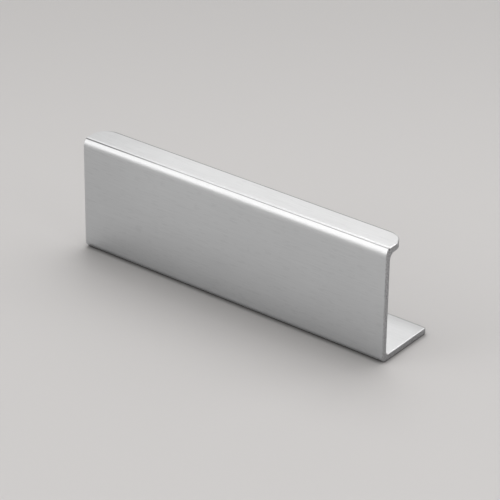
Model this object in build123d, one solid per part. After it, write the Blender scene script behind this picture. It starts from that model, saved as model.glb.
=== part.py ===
from build123d import *
import os
from math import acos, degrees, sin

# One cut length of a satin aluminium edge profile, standing on its foot. Sizes are in millimetres.
# X runs along the stock, Y from the broad front face to the back, Z up from the floor.
# The origin is on the floor, in the middle of the space that the piece takes up.

# Overall
length = 120.0
height = 40.0
foot_depth = 23.7
lip_depth = 10.4

# Walls
web_thickness = 2.1
foot_thickness = 2.4
lip_thickness = 2.5

# The front face leans back in a long arc at its top. A fine groove parts it from the lip,
# whose flat stands a little higher and has a soft front edge.
front_radius = 4.5
front_setback = 1.1
lip_step = 0.3
groove_width = 0.3
groove_depth = 0.35
lip_front_radius = 0.45

# Rounds that the die gives the section
heel_radius = 2.4
inner_top_radius = 2.0
inner_heel_radius = 1.1
foot_edge_radius = 0.5

# Work done after the stock is cut to length
lip_corner_radius = 5.8
edge_bevel = 0.25

lip_underside = height - lip_thickness
arc_end = height - lip_step
groove_back = front_setback + groove_width
groove_floor = arc_end - groove_depth


# The section is drawn with the front face at Y = 0.
# Its front is an arc and the groove's slope, and the rest is straight walls with a round at each corner.
def section_outline():
    lean = acos(1 - front_setback / front_radius)
    front_top = arc_end - front_radius * sin(lean)
    front = CenterArc((front_radius, front_top), front_radius, 180, -degrees(lean))
    groove = Line(front @ 1, (groove_back, groove_floor))
    walls = FilletPolyline(
        (groove_back, groove_floor),
        (groove_back, height),
        (lip_depth, height),
        (lip_depth, lip_underside),
        (web_thickness, lip_underside),
        (web_thickness, foot_thickness),
        (foot_depth, foot_thickness),
        (foot_depth, 0),
        (0, 0),
        (0, front_top),
        radius=(
            lip_front_radius,
            0,
            0,
            inner_top_radius,
            inner_heel_radius,
            foot_edge_radius,
            foot_edge_radius,
            heel_radius,
        ),
    )
    return front + groove + walls


def cut_stock():
    return extrude(Plane.YZ * make_face(section_outline()), length / 2, both=True)


# Seen from above, the lip's two back corners are ground to a full round.
def round_lip_corners(stock):
    upright = stock.edges().filter_by(Axis.Z)
    return fillet(upright.filter_by_position(Axis.Y, lip_depth, lip_depth), lip_corner_radius)


# Both cut ends have a small bevel all round. It runs on round the lip's rim, above and below,
# because the lip's edges are smooth from one end to the other.
def bevel_cut_ends(stock):
    flat_ends = stock.faces().filter_by(Axis.X)
    return chamfer(flat_ends.edges(), edge_bevel)


def edge_profile():
    stock = bevel_cut_ends(round_lip_corners(cut_stock()))
    return Pos(0, -foot_depth / 2, 0) * stock


os.makedirs("parts", exist_ok=True)
export_step(edge_profile(), "parts/edge_profile.step")
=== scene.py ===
import math
import bpy
from mathutils import Matrix, Vector


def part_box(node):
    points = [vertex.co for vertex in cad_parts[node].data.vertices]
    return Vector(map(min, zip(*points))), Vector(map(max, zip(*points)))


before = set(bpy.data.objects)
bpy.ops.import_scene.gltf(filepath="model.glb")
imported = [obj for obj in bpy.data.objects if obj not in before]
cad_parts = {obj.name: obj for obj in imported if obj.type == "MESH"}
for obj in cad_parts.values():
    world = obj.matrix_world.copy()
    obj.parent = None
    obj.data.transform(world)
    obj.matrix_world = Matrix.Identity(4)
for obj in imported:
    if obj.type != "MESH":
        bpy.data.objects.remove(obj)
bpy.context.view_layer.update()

# the profile and its box: the length runs along X, the front face is the lowest Y, the foot stands on Z 0
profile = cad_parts["edge_profile"]
lowCorner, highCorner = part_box("edge_profile")
halfLength, top = highCorner.x, highCorner.z
front, back = lowCorner.y, highCorner.y
print("frame loaded:", ", ".join(sorted(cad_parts)))


# a socket that can be used in sums: each sum adds its Math node to the same tree
class Wire:
    def __init__(self, tree, socket):
        self.tree = tree
        self.socket = socket

    def math(self, operation, *values):
        return addNode(self.tree, "ShaderNodeMath", {"operation": operation}, dict(enumerate(values)))

    def __add__(self, other):
        return self.math("ADD", self, other)

    def __radd__(self, other):
        return self.math("ADD", other, self)

    def __sub__(self, other):
        return self.math("SUBTRACT", self, other)

    def __rsub__(self, other):
        return self.math("SUBTRACT", other, self)

    def __mul__(self, other):
        return self.math("MULTIPLY", self, other)

    def __rmul__(self, other):
        return self.math("MULTIPLY", other, self)

    def size(self):
        return self.math("ABSOLUTE", self)

    def root(self):
        return self.math("SQRT", self)

    def larger(self, other):
        return self.math("MAXIMUM", self, other)

    def above(self, limit):
        return self.math("GREATER_THAN", self, limit)

    def axis(self, name):
        return addNode(self.tree, "ShaderNodeSeparateXYZ", inputs={"Vector": self}, output=name)

    # 0 at the span's first value and before it, 1 at its second and past it, soft in between
    def step(self, span):
        start, end = span
        return addNode(self.tree, "ShaderNodeMapRange", {"interpolation_type": "SMOOTHSTEP"}, {
            "Value": self,
            "From Min": start,
            "From Max": end,
        })


def plug(tree, slot, value):
    if isinstance(value, Wire):
        tree.links.new(value.socket, slot)
    else:
        slot.default_value = value


# one new node: its settings first, then what goes into its sockets, by name or by number
def addNode(tree, kind, settings=None, inputs=None, output=0):
    node = tree.nodes.new(kind)
    for name, value in (settings or {}).items():
        setattr(node, name, value)
    for name, value in (inputs or {}).items():
        plug(tree, node.inputs[name], value)
    return Wire(tree, node.outputs[output]) if node.outputs else node


# a surface point in the frame, in metres
def placeOf(tree):
    return addNode(tree, "ShaderNodeTexCoord", output="Object")


# the way the surface faces, in the frame
def facingOf(tree):
    return addNode(tree, "ShaderNodeTexCoord", output="Normal")


# the colour sockets of a Mix node share their names with others, so they go by number
mixFirst, mixSecond, mixOut = 6, 7, 2


def mixColours(tree, share, first, second):
    return addNode(tree, "ShaderNodeMix", {"data_type": "RGBA"}, {
        "Factor": share,
        mixFirst: first,
        mixSecond: second,
    }, output=mixOut)


# the product of two colours or vectors, channel by channel
def product(tree, first, second):
    return addNode(tree, "ShaderNodeVectorMath", {"operation": "MULTIPLY"}, {0: first, 1: second})


# a colour made lighter or darker by a number
def toned(tree, colour, tone):
    return addNode(tree, "ShaderNodeVectorMath", {"operation": "SCALE"}, {0: colour, "Scale": tone})


# soft noise round 0, whose grains have the given size along each axis, in metres
def grainNoise(tree, grain, detail=2.0):
    spread = tuple(1 / side for side in grain)
    noise = addNode(tree, "ShaderNodeTexNoise", inputs={
        "Vector": product(tree, placeOf(tree), spread),
        "Scale": 1.0,
        "Detail": detail,
    })
    return noise - 0.5    # the node's own noise lies round a half


def newMaterial(name):
    made = bpy.data.materials.new(name)
    made.use_nodes = True
    made.node_tree.nodes.clear()
    return made, made.node_tree


def finishWith(tree, shader):
    addNode(tree, "ShaderNodeOutputMaterial", inputs={"Surface": shader})


# from the piece towards a camera or lamp: azimuth 0 is in front, 90 at the right end
def directionTo(azimuth, elevation):
    turn, rise = math.radians(azimuth), math.radians(elevation)
    return Vector((math.sin(turn) * math.cos(rise), -math.cos(turn) * math.cos(rise), math.sin(rise)))


# where a camera or lamp stands and how it is turned, to look at a point from a distance
def lookingAt(point, azimuth, elevation, distance):
    away = directionTo(azimuth, elevation)
    return Matrix.Translation(point + away * distance) @ away.to_track_quat("Z", "Y").to_matrix().to_4x4()


# camera, at the photo's angle: angles in degrees, distances in metres
view = {
    "lensMm": 177.7,
    "sensorMm": 36,
    "azimuth": 37.32,
    "elevation": 28.6,
    "roll": 0.76,
    "distance": 0.7718,
    "aimAlong": 0.00862,    # it looks at this point of the front face
    "aimHeight": 0.0223,
    "clipEnd": 20,
}


def addCamera():
    data = bpy.data.cameras.new("camera")
    data.sensor_width = view["sensorMm"]
    data.lens = view["lensMm"]
    data.clip_end = view["clipEnd"]
    camera = bpy.data.objects.new("camera", data)
    bpy.context.scene.collection.objects.link(camera)
    aim = Vector((view["aimAlong"], front, view["aimHeight"]))
    roll = Matrix.Rotation(math.radians(view["roll"]), 4, "Z")
    camera.matrix_world = lookingAt(aim, view["azimuth"], view["elevation"], view["distance"]) @ roll
    bpy.context.scene.camera = camera


addCamera()
print("camera placed")


# room: a pale paper floor and a dim sky
room = {
    "floorSize": 8.0,
    "paperColour": (0.615, 0.615, 0.615, 1),
    # paperNear is painted light and paperFar is painted shade, laid over the paper's own colour
    "paperNear": (0.65, 0.65, 0.65, 1),
    "paperFar": (0.485, 0.485, 0.485, 1),
    "paperNearSpan": (0.02, -0.20),    # along the view, in metres behind the middle of the piece
    "paperFarSpan": (0.0, 0.32),
    "seenTint": (1.0, 0.972, 0.956, 1),    # warm where the camera sees the paper itself
    "unseenTint": (0.976, 0.976, 0.976, 1),    # neutral in what the metal mirrors
    "paperFibre": (0.0012, 0.0012, 0.0012),
    "paperFleck": 0.012,
    "paperRoughness": 0.8,
    "contactShades": ((0.012, 0.42), (0.0016, 0.45)),    # the reach of each, in metres, and its strength
    "shadeSamples": 8,
    "skyColour": (1.0, 1.0, 1.0, 1),
    "skyGlow": 0.42,
}


# paper with painted light that makes it lighter in front, painted shade that makes it darker far behind,
# and painted contact shade close to what stands on it
def palePaper():
    made, tree = newMaterial("pale paper")
    behind = addNode(tree, "ShaderNodeVectorMath", {"operation": "DOT_PRODUCT"}, {
        0: placeOf(tree),
        1: -directionTo(view["azimuth"], 0),
    }, output="Value")
    # painted light towards the front and painted shade far behind
    colour = mixColours(tree, behind.step(room["paperNearSpan"]), room["paperColour"], room["paperNear"])
    colour = mixColours(tree, behind.step(room["paperFarSpan"]), colour, room["paperFar"])
    seen = addNode(tree, "ShaderNodeLightPath", output="Is Camera Ray")
    tint = mixColours(tree, seen, room["unseenTint"], room["seenTint"])
    tone = 1 + room["paperFleck"] * grainNoise(tree, room["paperFibre"])
    # painted contact shade, darker where the paper is hemmed in by what stands on it
    for reach, strength in room["contactShades"]:
        openness = addNode(tree, "ShaderNodeAmbientOcclusion", {"samples": room["shadeSamples"]}, {
            "Distance": reach,
        }, output="AO")
        tone = tone * (1 - strength * (1 - openness))
    finishWith(tree, addNode(tree, "ShaderNodeBsdfPrincipled", inputs={
        "Base Color": toned(tree, product(tree, colour, tint), tone),
        "Roughness": room["paperRoughness"],
    }))
    return made


def addFloor():
    half = room["floorSize"] / 2
    mesh = bpy.data.meshes.new("floor")
    corners = [(-half, -half, 0), (half, -half, 0), (half, half, 0), (-half, half, 0)]
    mesh.from_pydata(corners, [], [(0, 1, 2, 3)])
    mesh.materials.append(palePaper())
    floor = bpy.data.objects.new("floor", mesh)
    bpy.context.scene.collection.objects.link(floor)


def addSky():
    world = bpy.data.worlds.new("room")
    world.use_nodes = True
    tree = world.node_tree
    tree.nodes.clear()
    glow = addNode(tree, "ShaderNodeBackground", inputs={
        "Color": room["skyColour"],
        "Strength": room["skyGlow"],
    })
    addNode(tree, "ShaderNodeOutputWorld", inputs={"Surface": glow})
    bpy.context.scene.world = world


addFloor()
addSky()
print("floor and sky made")


# soft boxes round the piece: glow is how bright a box looks, where 1 is white paper
softBoxes = {
    "highLeft": {"azimuth": -160, "elevation": 60, "distance": 1.3, "size": (0.9, 0.8), "glow": 2.17},
    "highRight": {"azimuth": 140, "elevation": 58, "distance": 1.3, "size": (0.9, 0.8), "glow": 0.3},
    "backRight": {"azimuth": 146, "elevation": 32, "distance": 1.5, "size": (0.6, 0.4), "glow": 2.2},
    "overLeft": {"azimuth": -100, "elevation": 62, "distance": 1.3, "size": (0.8, 0.7), "glow": 0.38},
    "backLeft": {"azimuth": -125, "elevation": 46, "distance": 1.4, "size": (0.8, 0.6), "glow": 0.9},
    "lowBehind": {"azimuth": -150, "elevation": 20, "distance": 1.5, "size": (0.9, 0.6), "glow": 0.46},
    "frontHigh": {"azimuth": -50, "elevation": 52, "distance": 1.4, "size": (0.8, 0.6), "glow": 0.82},
    "frontStrip": {"azimuth": -32, "elevation": 26, "distance": 1.5, "size": (0.55, 0.9), "glow": 1.48},
    "leftStrip": {"azimuth": -50, "elevation": 24, "distance": 1.5, "size": (0.5, 0.9), "glow": 0.58},
    "frontLow": {"azimuth": -25, "elevation": 8, "distance": 1.6, "size": (1.0, 0.35), "glow": 0.66},
    "rightWall": {"azimuth": 95, "elevation": 30, "distance": 1.6, "size": (1.4, 1.0), "glow": 1.23},
}


def addSoftBox(name, box):
    data = bpy.data.lights.new(name, "AREA")
    data.shape = "RECTANGLE"
    data.size, data.size_y = box["size"]
    data.energy = box["glow"] * math.pi * data.size * data.size_y
    lamp = bpy.data.objects.new(name, data)
    lamp.visible_camera = False
    bpy.context.scene.collection.objects.link(lamp)
    middle = Vector((0, 0, top / 2))
    lamp.matrix_world = lookingAt(middle, box["azimuth"], box["elevation"], box["distance"])


for boxName, box in softBoxes.items():
    addSoftBox(boxName, box)
bpy.context.scene.view_settings.view_transform = "Standard"
print("soft boxes placed")


# drawn faces: satin, with streaks along the stock, painted shade that darkens them towards the far end
# and painted light that brightens the lip towards the near end
satin = {
    "colour": (0.665, 0.665, 0.666, 1),
    # painted shade towards the far end and painted light on the lip towards the near end, over the drawn
    # colour
    "farPaintedShade": (0.59, 0.59, 0.591, 1),
    "nearLipPaintedLight": (0.715, 0.713, 0.713, 1),
    "farSpan": (-0.01, -0.066),    # along the stock, from its middle
    "nearSpan": (0.0, 0.066),
    "lipSpan": (0.0035, 0.0015),    # down from the top
    "roundRise": (0.15, 0.4),    # how far a face looks up: from 0 on a wall to 1 on a flat top
    "roundCrest": (0.999, 0.985),
    "roughness": 0.34,
    "roughnessDrift": 0.05,
    "streak": (0.016, 0.0005, 0.0005),    # grain sizes, longest along the stock
    "hairline": (0.006, 0.00012, 0.00012),
    "streakTone": 0.09,
    "streakRise": 0.00001,
    "cloud": (0.018, 0.012, 0.012),
    "cloudTone": 0.05,
    "mark": (0.0035, 0.0006, 0.0006),
    "markSpan": (0.14, 0.22),
    "markTone": 0.035,
}


# 1 on rounds and bevels that look upwards, which the painted far-end shade leaves out
def roundFaces(tree):
    rise = facingOf(tree).axis("Z")
    return rise.step(satin["roundRise"]) * rise.step(satin["roundCrest"])


# the drawn colour: streaks, cloud and marks of the finish, with painted shade towards the far end and
# painted light on the lip towards the near end
def satinColour(tree, streaks, cloud):
    along, fromTop = placeOf(tree).axis("X"), top - placeOf(tree).axis("Z")
    farShare = along.step(satin["farSpan"]) * (1 - roundFaces(tree))
    nearShare = along.step(satin["nearSpan"]) * fromTop.step(satin["lipSpan"])
    colour = mixColours(tree, farShare, satin["colour"], satin["farPaintedShade"])
    colour = mixColours(tree, nearShare, colour, satin["nearLipPaintedLight"])
    marks = grainNoise(tree, satin["mark"], detail=0.0).step(satin["markSpan"])
    tone = 1 + satin["streakTone"] * streaks + satin["cloudTone"] * cloud - satin["markTone"] * marks
    return toned(tree, colour, tone)


# sawn ends and the lip's ground corners: darker and speckled
# the corner, bevel and end spans are of the way a face looks: 1 when it looks straight along, back or up
cut = {
    "colour": (0.395, 0.388, 0.392),
    "roughness": 0.5,
    "grain": (0.0006, 0.0006, 0.0004),
    "grainTone": 2.0,
    "grainRise": 0.00004,
    "endAlong": (0.85, 0.95),
    "cornerAlong": (0.05, 0.15),
    "cornerBack": (0.0, 0.05),
    "cornerUp": (0.4, 0.2),
    "bevel": (0.4, 0.6),
    "frontBevelShare": 0.8,
    "lipThickness": 0.0025,
}


# 1 on the cut faces and their back bevels, part way on their front bevels, 0 on the drawn faces
def cutFaces(tree):
    facing = facingOf(tree)
    sideways, rearward, upward = facing.axis("X").size(), facing.axis("Y"), facing.axis("Z").size()
    ends = sideways.step(cut["endAlong"])
    onLip = placeOf(tree).axis("Z").above(top - cut["lipThickness"])
    corners = sideways.step(cut["cornerAlong"]) * rearward.step(cut["cornerBack"])
    corners = corners * upward.step(cut["cornerUp"]) * onLip
    bevels = sideways.step(cut["bevel"])
    backBevels = bevels * rearward.step(cut["bevel"])
    frontBevels = bevels * (-1 * rearward).step(cut["bevel"]) * cut["frontBevelShare"]
    return ends.larger(corners).larger(backBevels).larger(frontBevels)


# shade in the groove behind the front arc, on the back rims, over the back of the foot and under the ends
# each span is a distance in from a face of the profile's box, or up from the floor, in metres
edges = {
    "groove": {
        "fromFront": ((0.00105, 0.00108), (0.00185, 0.00175)),
        "fromTop": ((0.0003, 0.00036), (0.0011, 0.001)),
        "shade": 0.4,
    },
    "farGroove": {
        "fromFront": ((0.00096, 0.00102), (0.0019, 0.0018)),
        "fromTop": ((0.0002, 0.00028), (0.0011, 0.001)),
        "shade": 0.66,
    },
    "lipDepth": 0.0104,
    "cornerRadius": 0.0058,
    "rimShade": 0.8,
    "lipRim": (0.0007, 0.0003),
    "lipRimFromTop": (0.0004, 0.0003),
    "lipRimFromEnd": (0.001, 0.006),
    "footRim": ((0.00018, 0.00026), (0.0007, 0.0003)),
    "footTop": ((0.0022, 0.00232), (0.0029, 0.0026)),
    "footFade": (0.008, 0.0),
    "footShade": 0.19,
    "seatHeight": (0.0005, 0.0002),
    "seatFromEnd": (0.0006, 0.0004),
    "seatShade": 0.7,
}


# 1 between a rising and a falling span
def between(distance, spans):
    rising, falling = spans
    return distance.step(rising) * distance.step(falling)


# distance in from the lip's back edge and round corners
def fromLipRim(fromEnd, fromFront):
    radius = edges["cornerRadius"]
    sideways = (radius - fromEnd).larger(0.0)
    rearward = (fromFront - (edges["lipDepth"] - radius)).larger(0.0)
    return radius - (sideways * sideways + rearward * rearward).root()


def grooveShade(groove, fromFront, fromTop):
    return groove["shade"] * between(fromFront, groove["fromFront"]) * between(fromTop, groove["fromTop"])


def edgeShade(tree):
    place = placeOf(tree)
    along, across, up = place.axis("X"), place.axis("Y"), place.axis("Z")
    fromFront, fromBack = across - front, back - across
    fromTop, fromEnd = top - up, halfLength - along.size()

    farShare = along.step(satin["farSpan"])
    groove = (1 - farShare) * grooveShade(edges["groove"], fromFront, fromTop)
    groove = groove + farShare * grooveShade(edges["farGroove"], fromFront, fromTop)
    lipRim = fromLipRim(fromEnd, fromFront).step(edges["lipRim"])
    lipRim = lipRim * fromTop.step(edges["lipRimFromTop"]) * fromEnd.step(edges["lipRimFromEnd"])
    onFoot = between(up, edges["footTop"])
    footRim = between(fromBack, edges["footRim"]) * onFoot
    footFade = fromBack.step(edges["footFade"]) * onFoot
    seat = up.step(edges["seatHeight"]) * fromEnd.step(edges["seatFromEnd"])
    rims = edges["rimShade"] * (lipRim + footRim)
    return groove + rims + edges["footShade"] * footFade + edges["seatShade"] * seat


def satinAluminium():
    made, tree = newMaterial("satin aluminium")
    isCut = cutFaces(tree)
    streaks = grainNoise(tree, satin["streak"]) + grainNoise(tree, satin["hairline"], detail=1.0)
    cloud = grainNoise(tree, satin["cloud"], detail=1.0)
    grain = grainNoise(tree, cut["grain"])
    drawnColour = satinColour(tree, streaks, cloud)
    cutColour = toned(tree, cut["colour"], 1 + cut["grainTone"] * grain)
    colour = mixColours(tree, isCut, drawnColour, cutColour)
    drawnRoughness = satin["roughness"] + satin["roughnessDrift"] * (streaks + cloud)
    roughness = drawnRoughness + isCut * (cut["roughness"] - drawnRoughness)
    rise = satin["streakRise"] * streaks * (1 - isCut) + cut["grainRise"] * grain * isCut
    finishWith(tree, addNode(tree, "ShaderNodeBsdfPrincipled", inputs={
        "Base Color": toned(tree, colour, 1 - edgeShade(tree)),
        "Metallic": 1.0,
        "Roughness": roughness,
        "Normal": addNode(tree, "ShaderNodeBump", inputs={
            "Strength": 1.0,
            "Distance": 1.0,    # so the rise is in metres
            "Height": rise,
        }),
    }))
    return made


finish = satinAluminium()
for slot in profile.material_slots:
    slot.material = finish
print("satin finish on the profile")
